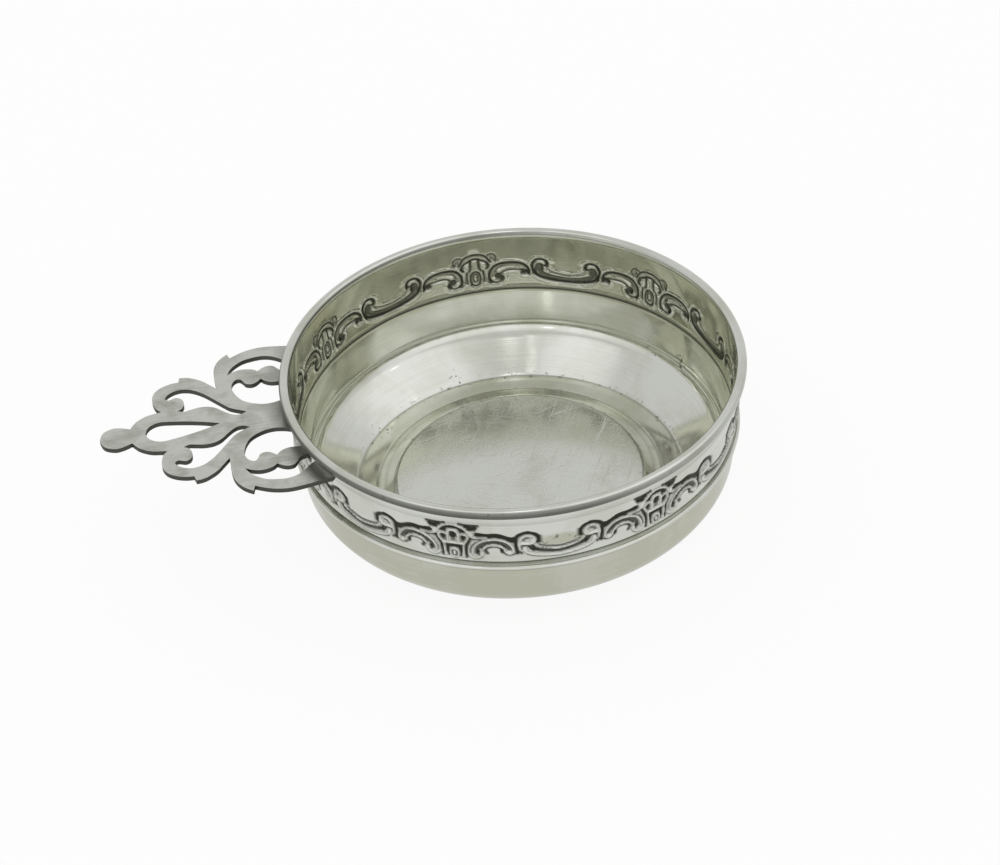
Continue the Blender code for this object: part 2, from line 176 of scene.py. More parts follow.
# The dark ground round the ridges: half width, strength, points
GROUNDS = [
    # Beside and in the crest, round its boss and bar
    (0.28, 1.0, [(1.7, 4.2), (3.5, 4.28), (6.2, 4.25)]),
    (0.5, 1.0, [(3.2, 4.75), (4.4, 5.0), (5.5, 4.95)]),
    (0.45, 1.0, [(3.9, 5.55), (5.2, 5.5)]),
    (0.45, 1.0, [(0, 5.2), (1.2, 5.35), (2.1, 6.0), (2.6, 6.6)]),
    (0.3, 1.0, [(1.8, 6.2), (2.0, 6.8)]),
    (0.78, 1.0, [(0, 7.2), (0, 8.0)]),
    (0.5, 0.75, [(0, 8.6), (0, 9.3)]),
    (0.58, 1.0, [(2.45, 8.15), (2.4, 8.7)]),
    (0.3, 0.8, [(2.2, 9.3), (2.1, 9.7)]),
    (0.52, 1.0, [(0, 11.3), (1.0, 11.4), (1.7, 11.5)]),
    (0.36, 1.0, [(1.55, 11.9), (1.6, 13.0), (1.45, 14.3)]),
    (0.24, 1.0, [(0, 12.6), (0.45, 12.9), (0.55, 13.5), (0.45, 14.2), (0, 14.45)]),
    (0.34, 1.0, [(3.0, 10.2), (2.95, 11.8), (2.9, 13.4), (2.85, 14.6)]),
    (0.45, 1.0, [(3.9, 8.9), (3.5, 9.7), (3.2, 10.5)]),
    # Over the scroll, beside its back, in its groove and curl, and under it
    (0.36, 1.0, [(4.2, 8.4), (5.4, 8.55), (6.6, 8.6)]),
    (0.24, 0.9, [(4.0, 13.0), (3.98, 12.0), (4.25, 11.1), (4.7, 10.3), (5.5, 9.4), (6.5, 8.85)]),
    (0.72, 1.0, [(5.9, 7.2), (7.0, 7.4), (8.2, 7.45), (9.5, 7.35), (10.7, 7.4), (11.6, 7.75), (12.6, 8.25),
                 (13.6, 8.75), (14.4, 9.0)]),
    (0.5, 1.0, [(12.6, 8.0), (13.6, 8.3), (14.6, 8.2)]),
    (0.55, 1.0, [(14.75, 8.6), (14.85, 9.8), (14.85, 11.0)]),
    (0.42, 1.0, [(14.85, 11.0), (14.9, 12.0), (15.0, 13.0)]),
    (0.3, 0.9, [(15.3, 12.5), (16.0, 13.1)]),
    (0.52, 0.9, [(5.45, 12.9), (5.55, 11.9), (6.1, 10.9), (7.0, 10.05), (8.2, 9.5), (9.6, 9.3), (10.9, 9.45),
                 (11.9, 10.0), (12.7, 10.8), (13.2, 11.6)]),
    (0.2, 1.0, [(6.6, 11.4), (7.2, 10.5), (8.3, 9.9), (9.6, 9.75), (10.8, 9.9), (11.7, 10.4), (12.4, 11.2)]),
    (0.45, 1.0, [(5.6, 12.3), (5.9, 13.2)]),
    (0.24, 1.0, [(7.4, 12.2), (7.9, 11.4), (8.7, 10.95), (9.6, 10.8), (10.5, 10.9), (11.1, 11.3)]),
    (0.42, 0.9, [(7.6, 12.4), (7.9, 12.9)]),
    (0.4, 1.0, [(11.4, 11.8), (11.5, 12.5)]),
    (0.2, 0.9, [(11.9, 12.9), (12.6, 13.45), (13.6, 13.5), (14.4, 13.2)]),
    (0.18, 0.6, [(3.6, 14.3), (4.6, 14.95), (5.8, 14.85), (6.7, 14.2)]),
    # Round and in the volute, along the festoon
    (0.5, 1.0, [(14.9, 8.0), (15.4, 7.4), (16.3, 6.95), (17.5, 6.7), (18.5, 6.95), (19.4, 7.3), (20.0, 8.0),
                (20.15, 9.0), (20.0, 9.7)]),
    (0.3, 1.0, [(17.7, 6.4), (17.9, 6.5)]),
    (0.26, 0.8, [(16.6, 9.0), (17.0, 8.5), (17.7, 8.35)]),
    (0.3, 1.0, [(16.15, 11.4), (16.6, 10.75), (17.3, 10.65), (17.9, 11.1), (18.3, 11.8), (18.9, 12.4)]),
    (0.35, 1.0, [(18.6, 11.0), (19.2, 11.8), (20.0, 12.3)]),
    (0.45, 0.95, [(19.4, 12.2), (20.6, 12.6), (22.2, 13.0), (24.0, 13.3), (25.2, 13.4)]),
    (0.2, 0.95, [(20.2, 10.75), (21.6, 11.3), (23.2, 11.7), (25.2, 12.0)]),
    (0.15, 0.85, [(17.3, 13.5), (18.6, 14.05), (20.5, 14.5), (23.0, 14.85), (25.2, 15.0)]),
]
# Inside, the scrolls are sunk and hold dark oxide: half width, strength, points
HOLLOWS = [
    # The crest: arch, knob, fan with its slots, boss and side bar
    (0.32, 1.0, [(0, 5.05), (1.5, 5.2), (2.6, 5.6), (3.4, 6.3), (3.9, 7.1), (4.4, 7.8)]),
    (0.6, 0.55, [(4.7, 6.4), (4.9, 6.9)]),
    (0.24, 1.0, [(3.6, 5.6), (4.7, 5.3), (5.6, 5.7), (5.85, 6.7), (5.4, 7.6)]),
    (0.36, 1.0, [(0, 6.35), (1.0, 6.5), (1.9, 7.0), (2.8, 7.4), (3.5, 8.1), (3.7, 8.9), (3.2, 9.7)]),
    (0.28, 1.0, [(1.1, 6.9), (1.15, 8.0), (1.25, 9.2), (1.6, 10.0)]),
    (0.3, 1.0, [(0, 10.3), (0.95, 10.7), (1.32, 11.8), (1.25, 13.2), (0.9, 14.2), (0, 14.6)]),
    (0.26, 0.9, [(0, 11.0), (0.5, 11.2), (0.62, 12.2), (0.45, 13.1), (0, 13.4)]),
    (0.28, 1.0, [(2.2, 10.2), (2.4, 11.8), (2.35, 13.6)]),
    (0.14, 0.6, [(2.9, 11.4), (2.9, 13.6)]),
    # The scroll: outline, body, line in the body, inner edge, curl and bud
    (0.4, 1.0, [(4.4, 14.2), (3.9, 13.3), (3.8, 12.2), (4.0, 11.0), (4.6, 10.0), (5.5, 9.2), (6.8, 8.7),
                (8.5, 8.5), (10.5, 8.5), (12.3, 8.8), (13.6, 9.4), (14.4, 10.2), (14.75, 11.2),
                (14.6, 12.2)]),
    (0.5, 0.4, [(5.0, 12.2), (5.2, 11.0), (6.0, 10.1), (7.4, 9.6), (9.2, 9.45), (11.2, 9.6), (12.6, 10.2),
                (13.5, 11.0)]),
    (0.2, 0.95, [(8.2, 9.3), (7.0, 9.5), (6.0, 10.2), (5.5, 11.2)]),
    (0.28, 1.0, [(7.0, 11.6), (7.8, 11.0), (9.0, 10.65), (10.5, 10.6), (12.0, 10.75), (13.2, 10.8)]),
    (1.0, 0.9, [(6.2, 12.3), (6.7, 12.8)]),
    (0.3, 1.0, [(4.2, 13.6), (5.0, 14.2), (6.2, 14.3), (7.2, 13.7), (7.7, 12.8)]),
    (0.85, 0.95, [(13.4, 11.6), (14.1, 11.5)]),
    # The festoon: volute and its middle, hook, lower band, body and upper edge
    (0.42, 1.0, [(16.2, 11.6), (15.75, 10.2), (15.75, 9.2), (16.3, 8.2), (17.3, 7.65), (18.5, 7.65),
                 (19.5, 8.2), (19.85, 9.0), (19.5, 9.7)]),
    (1.2, 0.8, [(17.6, 9.9), (17.4, 10.6)]),
    (0.3, 1.0, [(19.4, 9.4), (18.6, 9.5), (17.8, 9.4)]),
    (0.5, 1.0, [(15.95, 10.8), (16.4, 11.8), (17.4, 12.7), (18.8, 13.3), (20.5, 13.7), (22.5, 14.0),
                (25.2, 14.1)]),
    (0.7, 0.75, [(17.4, 10.8), (18.4, 12.0), (20.0, 12.7), (22.0, 13.15), (25.2, 13.35)]),
    (0.2, 0.95, [(19.9, 10.6), (21.0, 11.2), (22.4, 11.7), (25.2, 12.1)]),
]
# A few light ribs are left standing in them
RIBS = [
    (0.3, [(0, 11.7), (0, 12.7)]),
    (0.24, [(6.6, 11.1), (7.6, 10.4), (8.8, 10.05), (10.4, 10.0), (12.0, 10.15), (13.2, 10.3)]),
    (0.28, [(5.2, 13.6), (6.3, 13.75)]),
    (0.35, [(17.3, 8.5), (18.3, 8.4)]),
    (0.26, [(18.9, 10.3), (20.0, 11.2), (21.5, 12.0), (23.3, 12.5), (25.2, 12.7)]),
]
# Millimetres: softness of a dark edge, spread of the ground, the painted shadow line beside a ridge with its
# darkness, and how far inside a ridge's edge its bright top starts
INK_BLUR = 0.32
GROUND_SPREAD = 0.1
RIDGE_SHADOW = 0.2
RIDGE_SHADOW_DARKNESS = 0.5
RIDGE_EDGE = 0.1
# Inside, in millimetres: slope of a sunk edge, its oxide, the depth from which a lip swells round it,
# and how far from the edge that lip is highest
SUNK_SLOPE = 0.6
SUNK_OXIDE = 0.97
LIP_TOP = 6.5
LIP_REACH = 0.48
# Plain lines round the strip: depth under the wire, half width, sink as a share of the ground's, oxide
OUTSIDE_LINES = [(3.85, 0.12, 0.25, 0.4), (15.95, 0.2, 0.6, 1.0), (16.5, 0.4, 1.0, 0.5)]
INSIDE_LINES = [(16.4, 0.4, 1.0, 1.0)]
# Rows of the strip from its top: depth reached and rows on the way, outside and inside
OUTSIDE_ROWS = [(3.7, 2), (15.2, 42), (17.6, 7)]
INSIDE_ROWS = [(4.6, 2), (14.9, 32), (17.6, 5)]
STRIP_TOP = 1.1

# The inside of the strip is seldom polished, save its lips, which are left bright as a painted highlight; one
# festoon outside is worn to a yellow patch
BAND_TARNISH_INSIDE = 0.72
BAND_TARNISH_OUTSIDE = -0.25
WORN_ANGLE = radians(-91.2)
WORN_DEPTH = 9.8
WORN_ALONG = 7.0
WORN_DOWN = 2.4
WORN_EDGE = 2.0
WORN_GRIME = 0.6

# The wire is painted dark as shade over most of its outer face and along a line on its inner face, deepened
# in specks; to the right that painted shade eases
RIM_SHADE = 0.85
WIRE_SHADE_SPECKS = 1.15
RIM_SHADE_TOP = 0.8
RIM_SHADE_FADE = 0.14
RIM_SHADE_DEEPENING = 0.2
RIM_LINE = 0.46
RIM_LINE_REACH = 0.34
RIM_SHADE_EASING = 0.75
RIM_SHADE_EASING_FROM = 5 * MM
RIM_SHADE_EASING_FADE = 45 * MM

# The bead is painted dark underneath as shade: how dark, and from which upward share of its facing
BEAD_SHADE = 0.85
BEAD_SHADE_FROM = -0.2
BEAD_SHADE_FADE = 0.3

# The handle's drawing, in millimetres out from the bowl wall and to one side of its middle.
# Each list runs on smoothly from the point before it and ends at a corner.
HANDLE_DRAWN_WIDTH = 56.4
HANDLE_DROP = 3.2 * MM
HANDLE_RISE = radians(2.0)
HANDLE_SINK = 0.25 * MM
OUTLINE_STEP = 0.3
EDGE_ANGLE = radians(80)
EDGE_STEPS = 3
CUTTER_SIDES = 384
# How level a face is on the flat of the plate, and below which share it counts as sawn
FLAT_FACE = 0.99
SAWN_EDGE = 0.5
# Sawn edges are painted dark as shade, the face is rubbed, the rounded edges are painted bright as a
# highlight and the root is drawn darker next to the wall
SAWN_SHADE = 0.92
FACE_TARNISH = 0.27
EDGE_HIGHLIGHT = -1.0
ROOT_DARKENING = 0.55
ROOT_REACH = 6.5 * MM
EDGE_START = (45.9, 0)
EDGE = [
    [(45.4, 1.9), (44.5, 3.1), (42.4, 4.0), (40.5, 3.7), (38.4, 2.75)],
    [(37.3, 4.5), (36.1, 5.7), (34.1, 6.9), (32.0, 7.4), (30.4, 7.7)],
    [(31.5, 9.2), (32.1, 11.8), (32.0, 14.0), (31.1, 16.0), (29.3, 17.5), (27.0, 18.4), (25.1, 18.6)],
    [(24.7, 20.3)],
    [(23.2, 20.1), (21.9, 19.6), (19.5, 17.9), (17.7, 15.8), (16.1, 13.8)],
    [(16.2, 17.5), (16.1, 20.5), (15.6, 22.8), (14.5, 24.9), (13.3, 26.2), (12.0, 27.2)],
    [(11.5, 25.5)],
    [(8.5, 27.1), (6.0, 27.9), (3.5, 28.2), (1.0, 28.0), (-3.1, 27.3), (-10.0, 26.0)],
    [(-12.0, 25.5)],
]
TEARDROP_START = (34.95, 0)
TEARDROP = [
    [(34.5, 1.5), (33.7, 2.6), (32.5, 3.4), (31.0, 3.75), (28.9, 3.5), (25.1, 2.7), (21.1, 1.6), (16.8, 0)],
]
SIDE_OPENING_START = (29.1, 12.6)
SIDE_OPENING = [
    [(28.4, 13.9), (26.7, 15.1), (24.7, 15.5), (22.3, 14.8), (19.7, 12.7), (17.1, 9.5), (15.1, 6.9),
     (13.7, 5.3), (11.9, 4.2), (9.95, 3.1)],
    [(11.4, 2.3), (12.9, 2.4), (14.3, 3.3), (15.8, 4.8), (17.3, 6.3), (19.3, 7.2), (21.4, 7.3),
     (23.6, 6.8), (25.0, 6.5), (26.4, 7.1)],
    [(25.3, 7.9), (24.65, 9.3), (24.7, 10.8), (25.3, 12.0), (26.4, 12.5), (27.5, 12.1), (28.3, 11.9),
     (29.1, 12.6)],
]
ARM_SLOT_START = (13.0, 18.5)
ARM_SLOT = [
    [(12.0, 20.6), (10.5, 22.3), (8.4, 23.7), (6.1, 24.3), (3.6, 24.5), (1.4, 23.9), (-0.5, 22.6),
     (-3.4, 19.9), (-9.0, 17.5)],
    [(-9.0, 15.6)],
    [(-6.0, 15.8), (-0.7, 17.2), (0.4, 18.6), (1.4, 19.8), (2.8, 20.0), (4.1, 19.5), (5.3, 18.55)],
    [(6.3, 19.4), (8.0, 20.0), (9.7, 20.05), (11.5, 19.5), (13.0, 18.5)],
]
STEM_OPENING_START = (9.45, 15.4)
STEM_OPENING = [
    [(8.8, 14.1), (7.5, 13.6), (6.3, 14.0), (4.9, 15.3)],
    [(4.3, 14.5), (3.1, 13.6), (1.6, 13.2), (-0.4, 13.3), (-9.0, 13.8)],
    [(-9.0, 7.2)],
    [(-0.4, 6.2), (1.6, 5.45), (3.9, 4.95), (6.3, 5.2), (8.6, 6.2), (10.3, 7.5), (11.4, 9.2),
     (12.15, 11.2), (12.45, 13.2), (12.1, 14.9), (11.2, 16.05), (10.2, 16.3), (9.45, 15.4)],
]
# The seams' ends, in millimetres to either side of the handle's middle
SOLDER_SEAMS = {
    "solder_stem": (-4.8, 4.8),
    "solder_lobe_far": (-15.8, -14.0),
    "solder_lobe_near": (14.0, 15.8),
    "solder_arm_far": (-26.0, -21.4),
    "solder_arm_near": (21.4, 26.0),
}
FILLET_STEPS = 6
SEAM_STEPS = 24

# The camera: where it stands and the point it looks at, both from the middle of the rim
CAMERA_AZIMUTH = radians(-9.68)
CAMERA_ELEVATION = radians(37.565)
CAMERA_DISTANCE = 573.7 * MM
CAMERA_TARGET = Vector((-8.405, -25.635, 0)) * MM
CAMERA_ROLL = radians(-4.421)
CAMERA_LENS = 83.99
CAMERA_SENSOR = 36

# The stage: azimuth, elevation and size of the lamps
LAMPS = {
    "key": (radians(-9.7), radians(76), 0.22),
    "glint": (radians(-29.7), radians(68), 0.07),
    "spark": (radians(75), radians(50), 0.07),
    "window": (radians(-31), radians(27), 0.09),
}
LAMP_DISTANCE = 1.1
# Two parts of the room are brighter: azimuth and elevation of the middle, reach and even core
GLOWS = [
    (radians(79), radians(59.5), radians(35.5), radians(3)),
    (radians(-72), radians(66), radians(19.5), radians(3)),
]
# The wall behind the camera is brighter up to a window's height: the limits between which that sets in,
# as a share towards that wall and as an elevation
FRONT_SIDE = (0.15, 0.6)
FRONT_TOP = (radians(44), radians(32))
# Where the walls end and the ceiling begins
WALL_TOP_ELEVATION = radians(38)
CEILING_ELEVATION = radians(66)
FLOOR_REACH = 3.0
FLOOR_GLOW = 0.9
PAPER_ROUGHNESS = 0.9


def linear(code):
    """An sRGB hex colour as linear red, green and blue."""
    shares = [int(code[i : i + 2], 16) / 255 for i in (1, 3, 5)]
    return tuple(s / 12.92 if s <= 0.04045 else ((s + 0.055) / 1.055) ** 2.4 for s in shares)


def length(name, description, default):
    return FloatProperty(name=name, description=description, default=default, precision=5, unit="LENGTH")


def share(name, description, default):
    return FloatProperty(name=name, description=description, default=default, min=0, max=1, subtype="FACTOR")


def colour(name, description, code):
    return FloatVectorProperty(
        name=name, description=description, default=linear(code), min=0, max=1, size=3, subtype="COLOR"
    )


def power(name, description, default):
    return FloatProperty(name=name, description=description, default=default, min=0, unit="POWER")


def count(name, description, default):
    return IntProperty(name=name, description=description, default=default, min=8)


class PorringerSizes(bpy.types.PropertyGroup):
    bowl_sheet: length("Bowl sheet", "Thickness of the spun bowl", 0.9 * MM)
    band_sheet: length("Border sheet", "Thickness of the border strip", 0.8 * MM)
    relief: length("Relief", "How far the scrolls stand out of the border strip", 0.38 * MM)
    ground: length("Ground", "How deep the ground lies round the scrolls", 0.2 * MM)
    lip: length("Lip", "How far the strip swells inside, round the sunk scrolls", 0.32 * MM)
    handle_plate: length("Handle plate", "Thickness of the handle", 1.25 * MM)
    handle_edge: length("Handle edge", "Softening of the handle's edges", 0.24 * MM)
    solder_leg: length("Solder leg", "Height of the solder fillets under the handle", 0.9 * MM)
    turn_steps: count("Turn steps", "Steps round the turned pieces", 384)
    wire_sides: count("Wire sides", "Sides of the rim and bead wires", 28)


class PorringerFinish(bpy.types.PropertyGroup):
    silver: colour("Silver", "Polished silver of the bowl and wires", "#EBEDE6")
    tarnish: colour("Tarnish", "Thin warm tarnish that clouds the polished silver", "#CFCFBE")
    worn: colour("Worn silver", "Satin silver of the handle", "#F1F2EB")
    smudge: colour("Smudge", "Tarnish that is rubbed into the handle", "#A6A99D")
    # The oxide colour also paints shade: on the wires, the handle's sawn edges, the creases and beside the
    # ridges
    oxide: colour("Oxide", "Dark oxide in the ground, creases and joints", "#393A32")
    solder: colour("Solder", "Silver solder", "#77786E")
    polish: share("Polish", "Roughness of the polished silver", 0.08)
    satin: share("Satin", "Roughness of the handle", 0.26)


class PorringerStage(bpy.types.PropertyGroup):
    floor: colour("Floor", "Colour of the floor", "#F4F4F2")
    room: share("Room light", "Strength of the light from all round", 0.95)
    walls: share("Walls", "How bright the room's walls show in the silver", 0.63)
    ceiling: share("Ceiling", "How bright the room's ceiling shows in the silver", 0.61)
    glow: share("Side glow", "How much brighter the room shows at its left and right", 0.27)
    front: share("Front wall", "How much brighter the low wall behind the camera shows", 0.26)
    table: share("Table", "How bright the floor shows in the silver", 0.7)
    key: power("Key light", "Power of the soft box over the camera", 0.1)
    glint: power("Glint light", "Power of the small lamp over the camera", 0.006)
    spark: power("Spark light", "Power of the small lamp at the right", 0.006)
    window: power("Window light", "Power of the low soft box behind the camera", 0.0275)


# Materials: sizes of patterns are in millimetres, and From Min and From Max are where one sets in

# Lines of polishing, by their size along X, along Y and up: round a turned piece, along a rubbed one
TURNED_LINES = (60, 60, 0.5)
RUBBED_LINES = (9, 0.5, 9)
LINE_NOISE = {"Scale": 1, "Detail": 3, "Roughness": 0.65}
LINE_DEPTH = 0.004 * MM
# Clouds of tarnish, and how much they take of the metal
TURNED_CLOUD = 16
RUBBED_CLOUD = 7
CLOUD_NOISE = {"Detail": 4, "Roughness": 0.6, "Distortion": 0.4}
CLOUD_RANGE = {"From Min": 0.6, "From Max": 0.95}
CLOUD_STREAKS = 0.4
TURNED_CLOUDING = 0.7
RUBBED_CLOUDING = 0.6
# Hair scratches are about 0.05 mm wide; they are drawn at about 0.2 mm so that they show. Each set has
# its turn and length, and all have the same size across and down
HAIRS = ((0.3, 34), (1.1, 46), (2.7, 28))
HAIR_ACROSS = (0.9, 1.4)
HAIR_NOISE = {"Scale": 1, "Detail": 0}
HAIR_MIDDLE = 0.5
HAIR_RANGE = {"From Max": 0.03, "To Min": 1, "To Max": 0}
HAIR_PATCHES = {"From Min": 0.3, "From Max": 0.55}
HAIR_DEPTH = -0.05
# Spoons scrape the floor of the bowl
SCRAPED_RANGE = {"From Min": 30.5 * MM, "From Max": 31.5 * MM, "To Min": 1, "To Max": 0.1}
# Specks of dirt
SPECK_SIZE = 1.3
SPECK_NOISE = {"Detail": 3, "Roughness": 0.6}
SPECK_RANGE = {"From Min": 0.58, "From Max": 0.66}
# How far clouds make the metal smoother and rougher, and how much the marks dull it
WEAR_RANGE = {"From Min": 0.35, "From Max": 0.7}
WEAR_SMOOTHER = 0.03
WEAR_ROUGHER = 0.05
SCRAPED_DULLING = 0.07
HAIR_DULLING = 0.26
DARK_DULLING = 0.25
SOLDER_LUMPS = 0.8
SOLDER_DETAIL = 3
SOLDER_ROUGHNESS = 0.42
SOLDER_BUMP = {"Strength": 0.6, "Distance": 0.08 * MM}


def add(tree, kind, settings=None, links=None):
    """A new shader node, with its properties or sockets set and its sockets linked."""
    node = tree.nodes.new("ShaderNode" + kind)
    for key, value in (settings or {}).items():
        if isinstance(key, str) and hasattr(node, key):
            setattr(node, key, value)
        else:
            node.inputs[key].default_value = value
    for socket, source in (links or {}).items():
        tree.links.new(source, node.inputs[socket])
    return node


def per_size(millimetres):
    """The texture scale that gives a pattern of that size."""
    return 1 / (millimetres * MM)


def blank(name, metallic, roughness):
    """A plain material, its node tree and its shader."""
    material = bpy.data.materials.new(name)
    material.use_nodes = True
    shader = material.node_tree.nodes["Principled BSDF"]
    shader.inputs["Metallic"].default_value = metallic
    shader.inputs["Roughness"].default_value = roughness
    return material, material.node_tree, shader


def silver(name, finish, tint, stain, roughness, rubbed=False):
    """Sterling silver, polished and then used for years.

    It mirrors softly, is clouded by thin warm tarnish and carries fine lines from turning or rubbing.
    It is dark where an attribute gives oxide in a recess and painted shade elsewhere, dull where "tarnish"
    says that it is seldom polished and clean where that is below zero, which on the handle's rounded edges
    paints a highlight, and has dark specks where an attribute gives dirt and, on the wires, speckled painted
    shade.
    """
    material, tree, shader = blank(name, 1, roughness)
    place = add(tree, "TexCoord").outputs["Object"]
    spot = add(tree, "VectorMath", {"operation": "SUBTRACT", 1: AXIS}, {0: place}).outputs[0]
    flat = add(tree, "VectorMath", {"operation": "MULTIPLY", 1: (1, 1, 0)}, {0: spot}).outputs[0]
    radius = add(tree, "VectorMath", {"operation": "LENGTH"}, {0: flat}).outputs["Value"]
    parts = add(tree, "SeparateXYZ", None, {0: spot}).outputs
    climb = add(tree, "Math", {"operation": "ADD"}, {0: radius, 1: parts["Z"]}).outputs[0]
    lathe = add(tree, "CombineXYZ", None, {"X": parts["X"], "Y": parts["Y"], "Z": climb}).outputs[0]

    scale = [per_size(size) for size in (RUBBED_LINES if rubbed else TURNED_LINES)]
    along = {0: place if rubbed else lathe}
    lines_at = add(tree, "VectorMath", {"operation": "MULTIPLY", 1: scale}, along).outputs[0]
    lines = add(tree, "TexNoise", LINE_NOISE, {"Vector": lines_at}).outputs["Fac"]
    scale = per_size(RUBBED_CLOUD if rubbed else TURNED_CLOUD)
    cloud = add(tree, "TexNoise", {"Scale": scale, **CLOUD_NOISE}, {"Vector": place}).outputs["Fac"]

    scratches = None
    for turned, long in HAIRS:
        size = Vector((long, *HAIR_ACROSS)) * MM
        laid = {"vector_type": "TEXTURE", "Rotation": (0, 0, turned), "Scale": size}
        at = add(tree, "Mapping", laid, {"Vector": place}).outputs[0]
        hair = add(tree, "TexNoise", HAIR_NOISE, {"Vector": at}).outputs["Fac"]
        off = add(tree, "Math", {"operation": "SUBTRACT", 1: HAIR_MIDDLE}, {0: hair}).outputs[0]
        near = add(tree, "Math", {"operation": "ABSOLUTE"}, {0: off}).outputs[0]
        thin = add(tree, "MapRange", HAIR_RANGE, {"Value": near}).outputs[0]
        if scratches:
            thin = add(tree, "Math", {"operation": "MAXIMUM"}, {0: scratches, 1: thin}).outputs[0]
        scratches = thin
    scraped = add(tree, "MapRange", SCRAPED_RANGE, {"Value": radius}).outputs[0]
    patches = add(tree, "MapRange", HAIR_PATCHES, {"Value": cloud}).outputs[0]
    for part in (scraped, patches):
        scratches = add(tree, "Math", {"operation": "MULTIPLY"}, {0: scratches, 1: part}).outputs[0]

    # Polishing leaves the tarnish in streaks along the lines
    streaked = add(
        tree, "Math", {"operation": "MULTIPLY_ADD", 1: CLOUD_STREAKS}, {0: lines, 2: cloud}
    ).outputs[0]
    most = RUBBED_CLOUDING if rubbed else TURNED_CLOUDING
    clouding = add(tree, "MapRange", {**CLOUD_RANGE, "To Max": most}, {"Value": streaked}).outputs[0]
    tarnish, oxide, grime = (
        add(tree, "Attribute", {"attribute_name": painted}).outputs["Fac"]
        for painted in ("tarnish", "oxide", "grime")
    )
    skinned = add(
        tree, "Math", {"operation": "ADD", "use_clamp": True}, {0: clouding, 1: tarnish}
    ).outputs[0]
    colours = {"data_type": "RGBA", 6: (*tint, 1), 7: (*stain, 1)}
    metal = add(tree, "Mix", colours, {0: skinned}).outputs[2]
    crumb = add(
        tree, "TexNoise", {"Scale": per_size(SPECK_SIZE), **SPECK_NOISE}, {"Vector": place}
    ).outputs["Fac"]
    specks = add(tree, "MapRange", SPECK_RANGE, {"Value": crumb}).outputs[0]
    dirt = add(tree, "Math", {"operation": "MULTIPLY"}, {0: grime, 1: specks}).outputs[0]
    dark = add(tree, "Math", {"operation": "MAXIMUM"}, {0: oxide, 1: dirt}).outputs[0]
    if rubbed:
        # The handle is drawn darker in the corner next to the wall
        reach = {"From Min": BAND_TOP_RADIUS, "From Max": BAND_TOP_RADIUS + ROOT_REACH}
        corner = add(
            tree, "MapRange", {**reach, "To Min": ROOT_DARKENING, "To Max": 0}, {"Value": radius}
        ).outputs[0]
        dark = add(tree, "Math", {"operation": "MAXIMUM"}, {0: dark, 1: corner}).outputs[0]
    skin = add(tree, "Mix", {"data_type": "RGBA", 7: (*finish.oxide, 1)}, {0: dark, 6: metal})
    tree.links.new(skin.outputs[2], shader.inputs["Base Color"])

    spread = {"To Min": roughness - WEAR_SMOOTHER, "To Max": roughness + WEAR_ROUGHER}
    wear = add(tree, "MapRange", {**WEAR_RANGE, **spread}, {"Value": cloud}).outputs[0]
    for mark, dulling in ((scraped, SCRAPED_DULLING), (scratches, HAIR_DULLING), (dark, DARK_DULLING)):
        wear = add(tree, "Math", {"operation": "MULTIPLY_ADD", 1: dulling}, {0: mark, 2: wear}).outputs[0]
    tree.links.new(wear, shader.inputs["Roughness"])

    cut = add(
        tree, "Math", {"operation": "MULTIPLY_ADD", 1: HAIR_DEPTH}, {0: scratches, 2: lines}
    ).outputs[0]
    bump = add(tree, "Bump", {"Strength": 1, "Distance": LINE_DEPTH}, {"Height": cut})
    tree.links.new(bump.outputs[0], shader.inputs["Normal"])
    return material


def solder_metal(finish):
    """Silver solder, run into the joint and left unpolished: duller, greyer and a little lumpy."""
    material, tree, shader = blank("silver solder", 1, SOLDER_ROUGHNESS)
    place = add(tree, "TexCoord").outputs["Object"]
    grain = {"Scale": per_size(SOLDER_LUMPS), "Detail": SOLDER_DETAIL}
    lumps = add(tree, "TexNoise", grain, {"Vector": place}).outputs["Fac"]
    colours = {"data_type": "RGBA", 6: (*finish.oxide, 1), 7: (*finish.solder, 1)}
    tone = add(tree, "Mix", colours, {0: lumps})
    tree.links.new(tone.outputs[2], shader.inputs["Base Color"])
    bump = add(tree, "Bump", SOLDER_BUMP, {"Height": lumps})
    tree.links.new(bump.outputs[0], shader.inputs["Normal"])
    return material


# Shapes

MERGE_DISTANCE = 0.002 * MM
SHARP_ANGLE = radians(50)
RIDGE_SHAPE = 1.5


def made(bm, name):
    """Turns the bmesh into an object of the scene."""
    mesh = bpy.data.meshes.new(name)
    bm.to_mesh(mesh)
    bm.free()
    thing = bpy.data.objects.new(name, mesh)
    bpy.context.scene.collection.objects.link(thing)
    return thing


def put(bm, name, material, node):
    """Turns the bmesh into a finished piece that stands for its node."""
    piece = made(bm, name)
    piece.data.shade_smooth()
    piece.data.set_sharp_from_angle(angle=SHARP_ANGLE)
    piece.data.materials.append(material)
    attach(piece, "root")
    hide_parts(node)
    return piece


def chain(bm, points, closed=False):
    """A line of edges through points of radius and height, beside the bowl's axis."""
    verts = [bm.verts.new(AXIS + Vector((radius, 0, height))) for radius, height in points]
    ends = verts[1:] + verts[:1] if closed else verts[1:]
    return verts, [bm.edges.new(pair) for pair in zip(verts, ends)]


def swing(bm, verts, angle):
    """Rotates points round the bowl's axis."""
    bmesh.ops.rotate(bm, verts=verts, cent=AXIS, matrix=Matrix.Rotation(angle, 3, "Z"))


def spin(bm, geom, angle, steps, use_merge=False):
    """Spins a profile round the bowl's axis and gives its last copy."""
    return bmesh.ops.spin(
        bm, geom=geom, cent=AXIS, axis=(0, 0, 1), angle=angle, steps=steps, use_merge=use_merge
    )["geom_last"]


def close(bm):
    """Merges the points that meet and turns the faces outwards."""
    bmesh.ops.remove_doubles(bm, verts=bm.verts[:], dist=MERGE_DISTANCE)
    bmesh.ops.recalc_face_normals(bm, faces=bm.faces[:])


def turn(bm, steps):
    """Spins all that the bmesh holds right round the bowl's axis and closes it."""
    spin(bm, bm.verts[:] + bm.edges[:], 2 * pi, steps, use_merge=True)
    close(bm)


